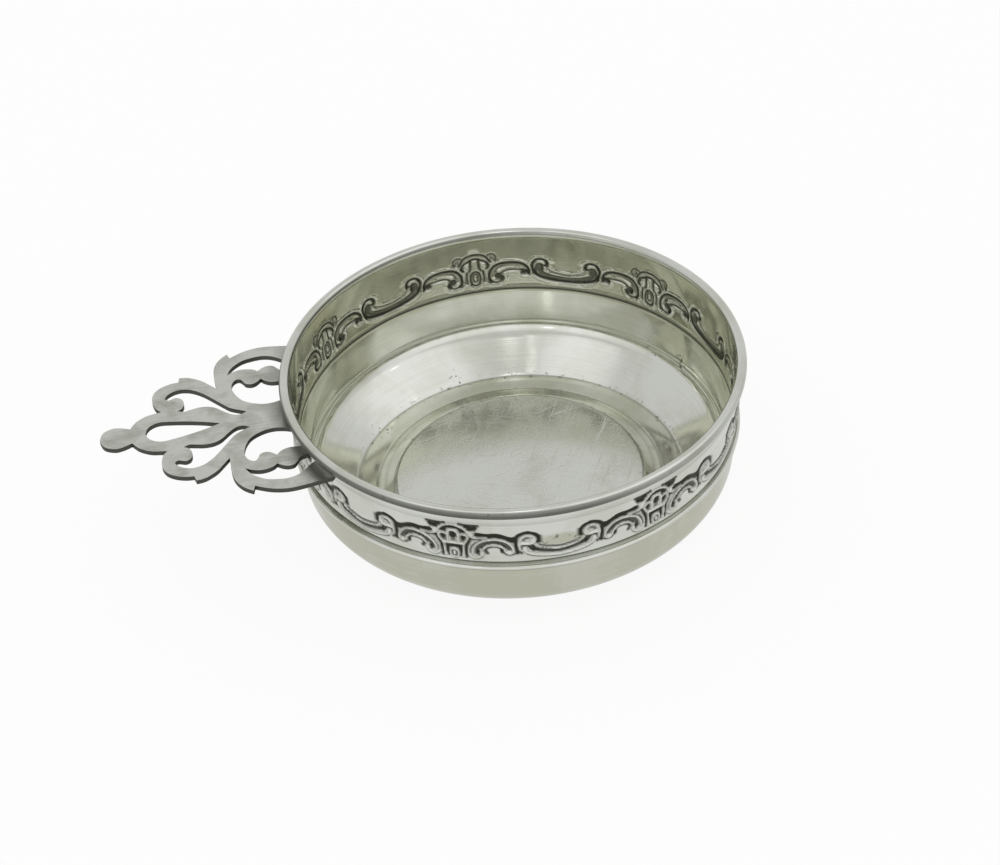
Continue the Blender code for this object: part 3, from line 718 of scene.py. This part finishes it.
def soften(bm, geom, affect, offset, segments, clamp_overlap=False):
    """Rounds the given corners or edges."""
    bmesh.ops.bevel(
        bm,
        geom=geom,
        affect=affect,
        offset=offset,
        offset_type="OFFSET",
        segments=segments,
        profile=0.5,
        material=-1,
        clamp_overlap=clamp_overlap,
    )


def paint(mesh, name, values, domain="POINT"):
    """Stores a value for each point or face of the mesh, which its material reads by name."""
    mesh.attributes.new(name, "FLOAT", domain).data.foreach_set("value", values.astype(np.float32))


def places(mesh):
    """The mesh's points as an array, measured from the bowl's axis."""
    found = np.empty(3 * len(mesh.vertices))
    mesh.vertices.foreach_get("co", found)
    return found.reshape(-1, 3) - np.array(AXIS)


def facings(mesh):
    """The direction that each point of the mesh faces: outwards from the axis, and up."""
    found = np.empty(3 * len(mesh.vertices))
    mesh.vertices.foreach_get("normal", found)
    found = found.reshape(-1, 3)
    spots = places(mesh)
    radius = np.maximum(np.hypot(spots[:, 0], spots[:, 1]), MM)
    return (found * spots)[:, :2].sum(axis=1) / radius, found[:, 2]


def smooth_run(points, spacing):
    """Even points on a smooth curve through the given ones, without the first."""
    knots = [Vector(p) for p in points]
    ends = [2 * knots[0] - knots[1]] + knots + [2 * knots[-1] - knots[-2]]
    run = []
    for before, a, b, after in zip(ends, ends[1:], ends[2:], ends[3:]):
        leg = (b - a).length
        steps = max(1, round(leg / spacing))
        start_pull = (b - before) * leg / (leg + (a - before).length)
        end_pull = (after - a) * leg / (leg + (after - b).length)
        for i in range(1, steps + 1):
            t = i / steps
            run.append(
                a * (2 * t**3 - 3 * t**2 + 1)
                + b * (3 * t**2 - 2 * t**3)
                + start_pull * (t**3 - 2 * t**2 + t)
                + end_pull * (t**3 - t**2)
            )
    return run


def rounded(share):
    """A rounded ridge's height, 1 on its line and 0 at its edge, for shares of its half width."""
    return np.clip(1 - share**2, 0, 1) ** RIDGE_SHAPE


def inked(gap):
    """1 inside a line's edge and 0 outside it, with a soft change between."""
    return np.clip(0.5 - gap / INK_BLUR, 0, 1)


def stroke_gaps(along, depth, strokes):
    """How far each place lies outside each stroke; inside a stroke the gap is below zero."""
    gaps = []
    for half_width, points in strokes:
        line = np.array([points[0], *(tuple(p) for p in smooth_run(points, STROKE_STEP))])
        squares = (along[:, None] - line[:, 0]) ** 2 + (depth[:, None] - line[:, 1]) ** 2
        gaps.append(np.sqrt(squares.min(axis=1)) - half_width)
    return np.array(gaps)


def scored(depth, lines, sizes, lift, oxide):
    """Adds the plain lines that run round the strip to its lift and its oxide."""
    for line_depth, half_width, sink, stain in lines:
        line = inked(np.abs(depth - line_depth) - half_width)
        lift = lift - sizes.ground * sink * line
        oxide = np.maximum(oxide, stain * line)
    return lift, oxide


def outside_relief(along, depth, sizes):
    """How far each place of the strip's outside is raised, how dark its oxide and painted shadow are, and
    where its ridges stand.
    """
    gaps = stroke_gaps(along, depth, RIDGES)
    widths = np.array([[half_width] for half_width, points in RIDGES])
    ridges = rounded((gaps + widths) / widths).max(axis=0)
    nearest = gaps.min(axis=0)
    grounds = inked(
        stroke_gaps(along, depth, [(width + GROUND_SPREAD, points) for width, strength, points in GROUNDS])
    )
    ground = (grounds * np.array([[strength] for width, strength, points in GROUNDS])).max(axis=0)
    # A painted shadow line lies beside every ridge
    dark = np.maximum(ground, RIDGE_SHADOW_DARKNESS * inked(nearest - RIDGE_SHADOW))
    oxide = dark * (1 - inked(nearest + RIDGE_EDGE))
    lift = sizes.relief * ridges - sizes.ground * ground * (1 - ridges)
    return *scored(depth, OUTSIDE_LINES, sizes, lift, oxide), ridges


def inside_relief(along, depth, sizes):
    """The same for the strip's inside, where the scrolls are sunk; in place of ridges it gives the lip round
    them, which is left bright as a painted highlight.
    """
    gaps = stroke_gaps(along, depth, [(width, points) for width, strength, points in HOLLOWS])
    strengths = np.array([[strength] for width, strength, points in HOLLOWS])
    ribs = inked(stroke_gaps(along, depth, RIBS).min(axis=0))
    nearest = gaps.min(axis=0)
    sunk = np.clip(-nearest / SUNK_SLOPE, 0, 1)
    lip = np.clip(1 - np.abs(nearest / LIP_REACH - 1), 0, 1) * np.clip(depth - LIP_TOP, 0, 1)
    lift = sizes.relief * sunk * (1 - ribs / 2) - sizes.lip * lip
    oxide = SUNK_OXIDE * (strengths * inked(gaps)).max(axis=0) * (1 - ribs)
    return *scored(depth, INSIDE_LINES, sizes, lift, oxide), lip


def band_radius(height):
    """The border strip's outer radius at a height."""
    return BAND_TOP_RADIUS - BAND_TAPER * (BAND_HIGH.z - height) / BAND_HEIGHT


def row_depths(plan):
    """Depths of a strip's rows, from the top of the strip down."""
    depths = [STRIP_TOP]
    for reach, rows in plan:
        depths += list(np.linspace(depths[-1], reach, rows + 1)[1:])
    return depths


class PORRINGER_OT_bowl(bpy.types.Operator):
    """The plain spun bowl below the border"""

    bl_idname = "porringer.bowl"
    bl_label = "Add bowl"

    def execute(self, context):
        sizes = context.scene.porringer_sizes
        finish = context.scene.porringer_finish
        bm = bmesh.new()
        verts = chain(bm, [corner for corner, soft in BOWL_CORNERS])[0]
        for vert, soft in [(vert, soft) for vert, (corner, soft) in zip(verts, BOWL_CORNERS) if soft]:
            soften(bm, [vert], "VERTICES", soft, CORNER_STEPS)
        for edge in bm.edges[:]:
            cuts = ceil(edge.calc_length() / ROW_SPACING) - 1
            if cuts:
                bmesh.ops.subdivide_edges(bm, edges=[edge], cuts=cuts)
        turn(bm, sizes.turn_steps)
        bmesh.ops.solidify(bm, geom=bm.faces[:], thickness=sizes.bowl_sheet)
        metal = silver("polished sterling silver", finish, finish.silver, finish.tarnish, finish.polish)
        piece = put(bm, "bowl", metal, "bowl_shell")

        spots = places(piece.data)
        radius = np.hypot(spots[:, 0], spots[:, 1])
        outwards, upwards = facings(piece.data)
        inside = upwards > outwards
        oxide = np.zeros(len(spots))
        grime = np.zeros(len(spots))
        # Each crease gets a painted shade line, with specks of dirt beside it
        for side, at_radius, at_height, half_width, strength in CREASES:
            gap = np.hypot(radius - at_radius, spots[:, 2] - at_height) / half_width
            gap = np.where(inside == (side == "inside"), gap, SPECK_REACH)
            oxide = np.maximum(oxide, strength * rounded(np.minimum(gap, 1)))
            grime = np.maximum(grime, SPECK_SHARE * strength * rounded(np.minimum(gap / SPECK_REACH, 1)))
        for place, reach in SPECK_PATCHES:
            gap = np.linalg.norm(spots - np.array(place), axis=1) / reach
            grime = np.maximum(grime, rounded(np.minimum(gap, 1)) * inside)
        tarnish = np.zeros(len(spots))
        for side, start, end, strength in BOWL_TARNISH:
            there = (inside == (side == "inside")) & (radius > start) & (radius < end)
            tarnish = np.where(there, strength, tarnish)
        paint(piece.data, "oxide", oxide)
        paint(piece.data, "grime", np.minimum(grime, 1))
        paint(piece.data, "tarnish", tarnish)
        return {"FINISHED"}


class PORRINGER_OT_border(bpy.types.Operator):
    """The strip of scroll border, embossed outwards"""

    bl_idname = "porringer.border"
    bl_label = "Add border"

    def execute(self, context):
        sizes = context.scene.porringer_sizes
        finish = context.scene.porringer_finish
        profile = []
        for rows, sink in ((OUTSIDE_ROWS, 0), (INSIDE_ROWS, sizes.band_sheet)):
            heights = [WIRE_HEIGHT - depth * MM for depth in row_depths(rows)]
            side = [(band_radius(height) - sink, height) for height in heights]
            profile += side[::-1] if sink else side
        bm = bmesh.new()
        verts, edges = chain(bm, profile, closed=True)
        crest = CREST_SPAN * MM / BAND_TOP_RADIUS
        swing(bm, verts, FIRST_CREST - crest / 2)
        last = verts + edges
        for steps, angle in ((CREST_STEPS, crest), (FESTOON_STEPS, 2 * pi / REPEATS - crest)):
            last = spin(bm, last, angle, steps)
        one = bm.verts[:] + bm.edges[:] + bm.faces[:]
        for i in range(1, REPEATS):
            copy = bmesh.ops.duplicate(bm, geom=one)["geom"]
            swing(bm, [v for v in copy if isinstance(v, bmesh.types.BMVert)], 2 * pi * i / REPEATS)
        close(bm)
        metal = silver("embossed sterling silver", finish, finish.silver, finish.tarnish, finish.polish)
        piece = put(bm, "border", metal, "border_band")
        self.emboss(piece.data, sizes)
        return {"FINISHED"}

    def emboss(self, mesh, sizes):
        """Raises the scrolls on the outside, sinks them inside, darkens the ground, paints a shadow line
        round the ridges and paints a highlight on the lips inside.
        """
        spots = places(mesh)
        radius = np.hypot(spots[:, 0], spots[:, 1])
        depth = (WIRE_HEIGHT - spots[:, 2]) / MM
        outside = radius > band_radius(spots[:, 2]) - sizes.band_sheet / 2
        repeat = 2 * pi / REPEATS
        turned = np.mod(np.arctan2(spots[:, 1], spots[:, 0]) - FIRST_CREST + repeat / 2, repeat) - repeat / 2
        along = np.abs(turned) * BAND_TOP_RADIUS / MM
        # Every half repeat is alike, so each place of the drawing is worked out once
        drawing = np.round(np.stack([along, depth, outside], axis=1), DRAWING_DIGITS)
        keys, back = np.unique(drawing, axis=0, return_inverse=True)
        places_once = keys[:, 0], keys[:, 1], sizes
        both = zip(outside_relief(*places_once), inside_relief(*places_once))
        lift, oxide, rubbed = (np.where(keys[:, 2], out, into)[back.reshape(-1)] for out, into in both)
        spots[:, :2] *= (1 + lift / radius)[:, None]
        mesh.vertices.foreach_set("co", (spots + np.array(AXIS)).ravel())
        mesh.update()
        paint(mesh, "oxide", oxide)
        turned = np.mod(np.arctan2(spots[:, 1], spots[:, 0]) - WORN_ANGLE + pi, 2 * pi) - pi
        gap = np.hypot(turned * radius / MM / WORN_ALONG, (depth - WORN_DEPTH) / WORN_DOWN)
        worn = np.clip(WORN_EDGE * (1 - gap), 0, 1) * outside
        # Inside, the lips are kept free of tarnish as a painted highlight
        tarnish = np.where(outside, BAND_TARNISH_OUTSIDE, BAND_TARNISH_INSIDE * (1 - rubbed))
        paint(mesh, "tarnish", np.maximum(tarnish, worn))
        paint(mesh, "grime", WORN_GRIME * worn)


class PORRINGER_OT_wires(bpy.types.Operator):
    """The round wire at the mouth and the bead wire at the waist"""

    bl_idname = "porringer.wires"
    bl_label = "Add wires"

    def execute(self, context):
        sizes = context.scene.porringer_sizes
        finish = context.scene.porringer_finish
        metal = silver("drawn sterling silver wire", finish, finish.silver, finish.tarnish, finish.polish)
        wires = (
            ("rim", "rim_wire", RIM_RADIUS - WIRE_RADIUS, WIRE_HEIGHT, WIRE_RADIUS),
            ("bead", "waist_bead", BEAD_CENTRE, BEAD_HEIGHT, BEAD_RADIUS),
        )
        for name, node, centre, height, thick in wires:
            bm = bmesh.new()
            upright = Matrix.Translation(AXIS + Vector((centre, 0, height))) @ Matrix.Rotation(pi / 2, 4, "X")
            bmesh.ops.create_circle(bm, segments=sizes.wire_sides, radius=thick, matrix=upright)
            turn(bm, sizes.turn_steps)
            piece = put(bm, name, metal, node)
            # Each wire gets painted shade, deepened in specks
            oxide = self.rim_shade(piece.data) if name == "rim" else self.bead_shade(piece.data)
            paint(piece.data, "oxide", oxide)
            paint(piece.data, "grime", WIRE_SHADE_SPECKS * oxide)
        return {"FINISHED"}

    def bead_shade(self, mesh):
        """The bead is painted dark underneath as shade, next to the bowl."""
        upwards = facings(mesh)[1]
        return BEAD_SHADE * np.clip((BEAD_SHADE_FROM - upwards) / BEAD_SHADE_FADE, 0, 1)

    def rim_shade(self, mesh):
        """Where the wire is painted dark as shade: most of its outer face and a line on its inner face,
        easing to the right.
        """
        outwards, upwards = facings(mesh)
        down = RIM_SHADE_TOP - upwards
        deeper = 1 - RIM_SHADE_DEEPENING * (1 - np.clip(down, 0, 1))
        outer = np.clip(down / RIM_SHADE_FADE, 0, 1) * deeper
        inner = rounded(np.minimum(np.abs(upwards - RIM_LINE) / RIM_LINE_REACH, 1))
        # The painted shade eases towards the right
        rubbed = np.clip((places(mesh)[:, 0] - RIM_SHADE_EASING_FROM) / RIM_SHADE_EASING_FADE, 0, 1)
        return RIM_SHADE * np.where(outwards > 0, outer, inner) * (1 - RIM_SHADE_EASING * rubbed)


def drawn(start, runs):
    """A line of the handle's drawing as points at the handle's real size."""
    line = [Vector(start)]
    for run in runs:
        line += smooth_run([line[-1], *run], OUTLINE_STEP)
    scale = HANDLE_WIDTH / HANDLE_DRAWN_WIDTH
    return [Vector((-p.x, p.y, 0)) * scale for p in line]


def mirrored(line):
    return [Vector((p.x, -p.y, 0)) for p in line]


def handle_loops():
    """The handle's outer edge and its openings, each as a closed ring of points."""
    edge = drawn(EDGE_START, EDGE)
    teardrop = drawn(TEARDROP_START, TEARDROP)
    loops = [edge + mirrored(edge[:0:-1]), teardrop + mirrored(teardrop[-2:0:-1])]
    sides = (
        (SIDE_OPENING_START, SIDE_OPENING),
        (ARM_SLOT_START, ARM_SLOT),
        (STEM_OPENING_START, STEM_OPENING),
    )
    for start, runs in sides:
        opening = drawn(start, runs)[:-1]
        loops += [opening, mirrored(opening)]
    return loops


class PORRINGER_OT_handle(bpy.types.Operator):
    """The flat pierced handle, with softened edges, let into the wall"""

    bl_idname = "porringer.handle"
    bl_label = "Add handle"

    def execute(self, context):
        sizes = context.scene.porringer_sizes
        finish = context.scene.porringer_finish
        top = WIRE_HEIGHT - HANDLE_DROP
        root = band_radius(top)
        bm = bmesh.new()
        for loop in handle_loops():
            verts = [bm.verts.new(p) for p in loop]
            for pair in zip(verts, verts[1:] + verts[:1]):
                bm.edges.new(pair)
        bmesh.ops.triangle_fill(bm, use_beauty=True, edges=bm.edges[:])
        grown = bmesh.ops.extrude_face_region(bm, geom=bm.faces[:])["geom"]
        lower = [v for v in grown if isinstance(v, bmesh.types.BMVert)]
        bmesh.ops.translate(bm, verts=lower, vec=(0, 0, -sizes.handle_plate))
        bmesh.ops.recalc_face_normals(bm, faces=bm.faces[:])
        level = [e for e in bm.edges if e.verts[0].co.z == e.verts[1].co.z]
        edges = [e for e in level if e.calc_face_angle() > EDGE_ANGLE]
        soften(bm, edges, "EDGES", sizes.handle_edge, EDGE_STEPS, clamp_overlap=True)
        bmesh.ops.transform(
            bm,
            matrix=Matrix.Translation(AXIS + Vector((-root, 0, top))) @ Matrix.Rotation(HANDLE_RISE, 4, "Y"),
            verts=bm.verts[:],
        )
        metal = silver("satin sterling silver", finish, finish.worn, finish.smudge, finish.satin, rubbed=True)
        piece = put(bm, "handle", metal, "handle_plate")
        self.let_in(piece)
        flatness = np.array([abs(face.normal.z) for face in piece.data.polygons])
        piece.data.polygons.foreach_set("use_smooth", flatness < FLAT_FACE)
        # The sawn edges are painted dark as shade
        paint(piece.data, "oxide", np.where(flatness < SAWN_EDGE, SAWN_SHADE, 0), "FACE")
        # The flat face carries tarnish, and the rounded edges are painted bright as a highlight
        paint(piece.data, "tarnish", np.where(flatness > FLAT_FACE, FACE_TARNISH, EDGE_HIGHLIGHT), "FACE")
        return {"FINISHED"}

    def let_in(self, piece):
        """Cuts the handle's root to the wall, a hair inside its surface."""
        bm = bmesh.new()
        bmesh.ops.create_cone(
            bm,
            cap_ends=True,
            segments=CUTTER_SIDES,
            radius1=BAND_BOTTOM_RADIUS - HANDLE_SINK,
            radius2=BAND_TOP_RADIUS - HANDLE_SINK,
            depth=BAND_HEIGHT,
            matrix=Matrix.Translation(AXIS + Vector((0, 0, (BAND_HIGH.z + BAND_LOW.z) / 2))),
        )
        cutter = made(bm, "wall_cutter")
        trim = piece.modifiers.new("Trim to wall", "BOOLEAN")
        trim.object = cutter
        ready = piece.evaluated_get(bpy.context.evaluated_depsgraph_get())
        trimmed = bpy.data.meshes.new_from_object(ready)
        piece.modifiers.clear()
        piece.data = trimmed
        bpy.data.objects.remove(cutter)


class PORRINGER_OT_solder(bpy.types.Operator):
    """The solder fillets in the corners under the handle's roots"""

    bl_idname = "porringer.solder"
    bl_label = "Add solder"

    def execute(self, context):
        sizes = context.scene.porringer_sizes
        metal = solder_metal(context.scene.porringer_finish)
        top = WIRE_HEIGHT - HANDLE_DROP - sizes.handle_plate
        for node, span in SOLDER_SEAMS.items():
            near = band_radius(top)
            start, end = (asin(side * MM / near) for side in span)
            drop = near * (1 - cos(max(abs(start), abs(end)))) * tan(HANDLE_RISE)
            leg = sizes.solder_leg
            turns = [pi / 2 * i / FILLET_STEPS for i in range(FILLET_STEPS + 1)]
            hollow = [(near + leg * (1 - sin(a)), top - drop - leg * (1 - cos(a))) for a in turns]
            back = near - HANDLE_SINK
            roof = top - drop + HANDLE_SINK
            corner = [(back, top - drop - leg), (back, roof), (near + leg, roof)]
            bm = bmesh.new()
            verts, edges = chain(bm, hollow + corner, closed=True)
            face = bm.faces.new(verts)
            swing(bm, verts, pi + start)
            spin(bm, [face, *edges, *verts], end - start, SEAM_STEPS)
            bmesh.ops.recalc_face_normals(bm, faces=bm.faces[:])
            put(bm, node.replace("solder", "fillet"), metal, node)
        return {"FINISHED"}


def facing(azimuth, elevation):
    """The direction towards a place round the bowl; azimuth 0 is the side away from +Y."""
    out = cos(elevation)
    return Vector((out * sin(azimuth), -out * cos(azimuth), sin(elevation)))


def soft_box(name, watts, azimuth, elevation, size):
    """A round area lamp that faces the bowl."""
    lamp = bpy.data.lights.new(name, "AREA")
    lamp.energy = watts
    lamp.shape = "DISK"
    lamp.size = size
    box = bpy.data.objects.new(name, lamp)
    out = facing(azimuth, elevation)
    box.location = RIM_MIDDLE + out * LAMP_DISTANCE
    box.rotation_euler = out.to_track_quat("Z", "Y").to_euler()
    bpy.context.scene.collection.objects.link(box)


class PORRINGER_OT_stage(bpy.types.Operator):
    """A pale floor, soft light from all round, small soft boxes and the camera"""

    bl_idname = "porringer.stage"
    bl_label = "Add stage"

    def execute(self, context):
        scene = context.scene
        stage = scene.porringer_stage
        scene.view_settings.view_transform = "Standard"
        self.add_floor(stage)
        self.add_room(scene, stage)
        for name, (azimuth, elevation, size) in LAMPS.items():
            soft_box(name, getattr(stage, name), azimuth, elevation, size)
        self.add_camera(scene)
        return {"FINISHED"}

    def add_floor(self, stage):
        """Matt white paper, drawn white for the camera, with a faint shadow left on it."""
        bm = bmesh.new()
        bmesh.ops.create_grid(bm, x_segments=1, y_segments=1, size=FLOOR_REACH)
        floor = made(bm, "floor")
        paper, tree, shader = blank("matt white paper", 0, PAPER_ROUGHNESS)
        shader.inputs["Base Color"].default_value = (*stage.floor, 1)
        shader.inputs["Specular IOR Level"].default_value = 0
        path = add(tree, "LightPath").outputs
        look = path["Is Camera Ray"]
        for other in ("Is Glossy Ray", "Is Transmission Ray"):
            look = add(tree, "Math", {"operation": "MAXIMUM"}, {0: look, 1: path[other]}).outputs[0]
        part = add(tree, "Math", {"operation": "MULTIPLY", 1: FLOOR_GLOW}, {0: look}).outputs[0]
        strength = add(tree, "Mix", {2: 1.0, 3: stage.table}, {0: path["Is Glossy Ray"]}).outputs[0]
        white = add(tree, "Emission", {"Color": (1, 1, 1, 1)}, {"Strength": strength}).outputs[0]
        mixed = add(tree, "MixShader", None, {0: part, 1: shader.outputs[0], 2: white})
        tree.links.new(mixed.outputs[0], tree.nodes["Material Output"].inputs["Surface"])
        floor.data.materials.append(paper)

    def add_room(self, scene, stage):
        """A white room as the silver mirrors it.

        It is brighter high up at left and right, and low on the wall behind the camera.
        """
        world = bpy.data.worlds.new("white room")
        world.use_nodes = True
        tree = world.node_tree
        path = add(tree, "LightPath").outputs
        way = add(tree, "TexCoord").outputs["Generated"]
        up = add(tree, "SeparateXYZ", None, {0: way}).outputs["Z"]
        climb = {"From Min": sin(WALL_TOP_ELEVATION), "From Max": sin(CEILING_ELEVATION)}
        tones = {"To Min": stage.walls, "To Max": stage.ceiling}
        shown = add(tree, "MapRange", {**climb, **tones}, {"Value": up}).outputs[0]
        for azimuth, elevation, reach, core in GLOWS:
            middle = {"operation": "DOT_PRODUCT", 1: facing(azimuth, elevation)}
            towards = add(tree, "VectorMath", middle, {0: way}).outputs["Value"]
            fade = {"interpolation_type": "SMOOTHSTEP", "From Min": cos(reach), "From Max": cos(core)}
            glow = add(tree, "MapRange", {**fade, "To Max": stage.glow}, {"Value": towards}).outputs[0]
            shown = add(tree, "Math", {"operation": "ADD"}, {0: shown, 1: glow}).outputs[0]
        middle = {"operation": "DOT_PRODUCT", 1: facing(CAMERA_AZIMUTH, 0)}
        ahead = add(tree, "VectorMath", middle, {0: way}).outputs["Value"]
        fade = {"From Min": FRONT_SIDE[0], "From Max": FRONT_SIDE[1]}
        front = add(tree, "MapRange", fade, {"Value": ahead}).outputs[0]
        fade = {"From Min": sin(FRONT_TOP[0]), "From Max": sin(FRONT_TOP[1])}
        low = add(tree, "MapRange", {**fade, "To Max": stage.front}, {"Value": up}).outputs[0]
        shown = add(tree, "Math", {"operation": "MULTIPLY_ADD"}, {0: front, 1: low, 2: shown}).outputs[0]
        strength = add(tree, "Mix", {2: stage.room}, {0: path["Is Glossy Ray"], 3: shown}).outputs[0]
        for look in ("Is Camera Ray", "Is Transmission Ray"):
            strength = add(tree, "Mix", {3: 1.0}, {0: path[look], 2: strength}).outputs[0]
        back = tree.nodes["Background"]
        back.inputs["Color"].default_value = (1, 1, 1, 1)
        tree.links.new(strength, back.inputs["Strength"])
        scene.world = world

    def add_camera(self, scene):
        lens = bpy.data.cameras.new("camera")
        lens.lens = CAMERA_LENS
        lens.sensor_width = CAMERA_SENSOR
        camera = bpy.data.objects.new("camera", lens)
        camera.location = RIM_MIDDLE + facing(CAMERA_AZIMUTH, CAMERA_ELEVATION) * CAMERA_DISTANCE
        look = (RIM_MIDDLE + CAMERA_TARGET - camera.location).to_track_quat("-Z", "Y")
        camera.rotation_mode = "QUATERNION"
        camera.rotation_quaternion = look @ Quaternion((0, 0, 1), CAMERA_ROLL)
        scene.collection.objects.link(camera)
        scene.camera = camera


class PORRINGER_PT_panel(bpy.types.Panel):
    bl_label = "Silver porringer"
    bl_idname = "PORRINGER_PT_panel"
    bl_space_type = "VIEW_3D"
    bl_region_type = "UI"
    bl_category = "Porringer"

    def draw(self, context):
        scene = context.scene
        for group in (scene.porringer_sizes, scene.porringer_finish, scene.porringer_stage):
            for name in group.__annotations__:
                self.layout.prop(group, name)
        for operator in PIECES:
            self.layout.operator(operator.bl_idname)


GROUPS = {
    "porringer_sizes": PorringerSizes,
    "porringer_finish": PorringerFinish,
    "porringer_stage": PorringerStage,
}
PIECES = (
    PORRINGER_OT_bowl,
    PORRINGER_OT_border,
    PORRINGER_OT_wires,
    PORRINGER_OT_handle,
    PORRINGER_OT_solder,
    PORRINGER_OT_stage,
)


def register():
    for name, group in GROUPS.items():
        bpy.utils.register_class(group)
        setattr(bpy.types.Scene, name, PointerProperty(type=group))
    for operator in PIECES:
        bpy.utils.register_class(operator)
    bpy.utils.register_class(PORRINGER_PT_panel)


def unregister():
    bpy.utils.unregister_class(PORRINGER_PT_panel)
    for operator in reversed(PIECES):
        bpy.utils.unregister_class(operator)
    for name, group in GROUPS.items():
        delattr(bpy.types.Scene, name)
        bpy.utils.unregister_class(group)


def main():
    register()
    bpy.ops.porringer.bowl()
    bpy.ops.porringer.border()
    bpy.ops.porringer.wires()
    bpy.ops.porringer.handle()
    bpy.ops.porringer.solder()
    bpy.ops.porringer.stage()


if __name__ == "__main__":
    main()
